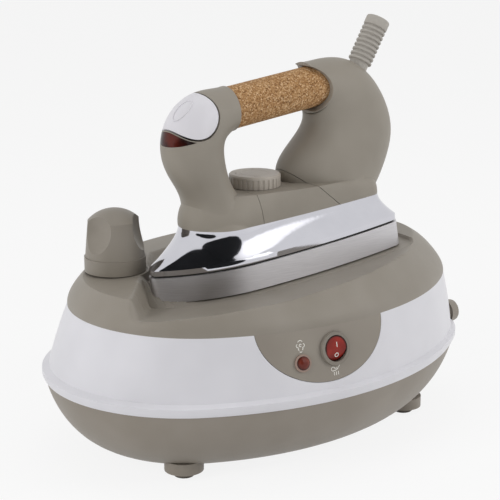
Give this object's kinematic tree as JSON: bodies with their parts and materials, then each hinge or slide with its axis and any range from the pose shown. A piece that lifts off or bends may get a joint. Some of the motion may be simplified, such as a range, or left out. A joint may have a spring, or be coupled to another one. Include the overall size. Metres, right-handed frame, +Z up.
{
  "type": "steam ironing station",
  "caption": "Steam iron with a cork grip resting nose down on an oval boiler base with a filler cap and a switch panel.",
  "frame": {"origin": "centre of the base's footprint on the floor", "axes": "+X along the base towards the iron's heel, +Y towards the filler cap's side, +Z up"},
  "size_m": [0.3694, 0.2614, 0.3282],
  "materials": {
    "taupe_abs": "moulded taupe ABS with a fine texture",
    "cover_abs": "moulded taupe ABS",
    "white_abs": "moulded white ABS, satin",
    "panel_abs": "taupe ABS panel with printed signs",
    "iron_abs": "heat proof taupe moulding with a fine texture",
    "cork": "pressed cork granules",
    "chrome_sheet": "chromed steel sheet",
    "sole_aluminium": "cast aluminium with a ground edge",
    "steel": "steel",
    "stainless": "stainless steel",
    "brass": "turned brass",
    "rubber": "black rubber",
    "boot_rubber": "taupe rubber",
    "silicone": "grey silicone",
    "red_lens": "translucent red polycarbonate",
    "lamp_lens": "translucent red polycarbonate",
    "phenolic": "dark phenolic moulding",
    "ring_abs": "pale rose plastic",
    "button_abs": "white ABS, satin"
  },
  "bodies": {
    "base": {"bottom_tray": "taupe_abs", "rubber_feet": "rubber", "band_housing": "white_abs", "control_panel": "panel_abs", "top_cover": "cover_abs", "rest_mat": "silicone", "boiler_tank": "stainless", "boiler_neck": "brass", "boiler_heater": "steel", "boiler_posts": "steel", "thermal_cutout": "phenolic", "pressure_switch": "steel", "solenoid_valve": "phenolic", "steam_pipe": "silicone", "terminal_block": "phenolic", "rear_gland": "taupe_abs", "switch_bezel": "taupe_abs", "switch_body": "phenolic", "pilot_lamp_ring": "ring_abs", "pilot_lamp_lens": "lamp_lens"},
    "rocker": {"rocker_switch": "red_lens"},
    "cap_washer": {"cap_gasket": "silicone"},
    "cap": {"cap_knob": "taupe_abs", "cap_plug": "brass"},
    "iron": {"soleplate": "sole_aluminium", "heating_element": "steel", "skirt_gasket": "silicone", "chrome_skirt": "chrome_sheet", "heat_shield": "steel", "front_shell": "iron_abs", "dial_saddle": "iron_abs", "rear_shell": "iron_abs", "cork_grip": "cork", "grip_core": "steel", "button_switch": "phenolic", "iron_pilot_lens": "lamp_lens", "thermostat": "steel", "steam_tube": "stainless", "hose_boot": "boot_rubber"},
    "button": {"steam_button": "button_abs"},
    "dial": {"temperature_dial": "iron_abs", "dial_spindle": "steel"}
  },
  "joints": [
    {"name": "rocker_tilt", "type": "hinge", "parent": "base", "child": "rocker", "pos_m": [-0.023, -0.12078, 0.1], "axis": [-0.9962, 0.0871, 0], "range_deg": [0, 22]},
    {"name": "cap_rise", "type": "slide", "parent": "base", "child": "cap_washer", "axis": [0, 0, 1], "range_m": [0, 0.009]},
    {"name": "cap_turn", "type": "hinge", "parent": "cap_washer", "child": "cap", "pos_m": [-0.11, 0.041, 0.1405], "axis": [0, 0, 1], "range_deg": [0, 1080]},
    {"name": "iron_lift", "type": "slide", "parent": "base", "child": "iron", "axis": [0, 0, 1], "range_m": [0, 0.06]},
    {"name": "steam_button_press", "type": "slide", "parent": "iron", "child": "button", "axis": [0.6385, 0, -0.7696], "range_m": [0, 0.0012], "stiffness_N_per_m": 900},
    {"name": "dial_turn", "type": "hinge", "parent": "iron", "child": "dial", "pos_m": [-0.00412, 0, 0.20039], "axis": [0, 0, 1], "range_deg": [0, 270]}
  ],
  "couplings": [
    {"joint": "cap_rise", "follows": "cap_turn", "m_per_rad": 0.00047746}
  ]
}
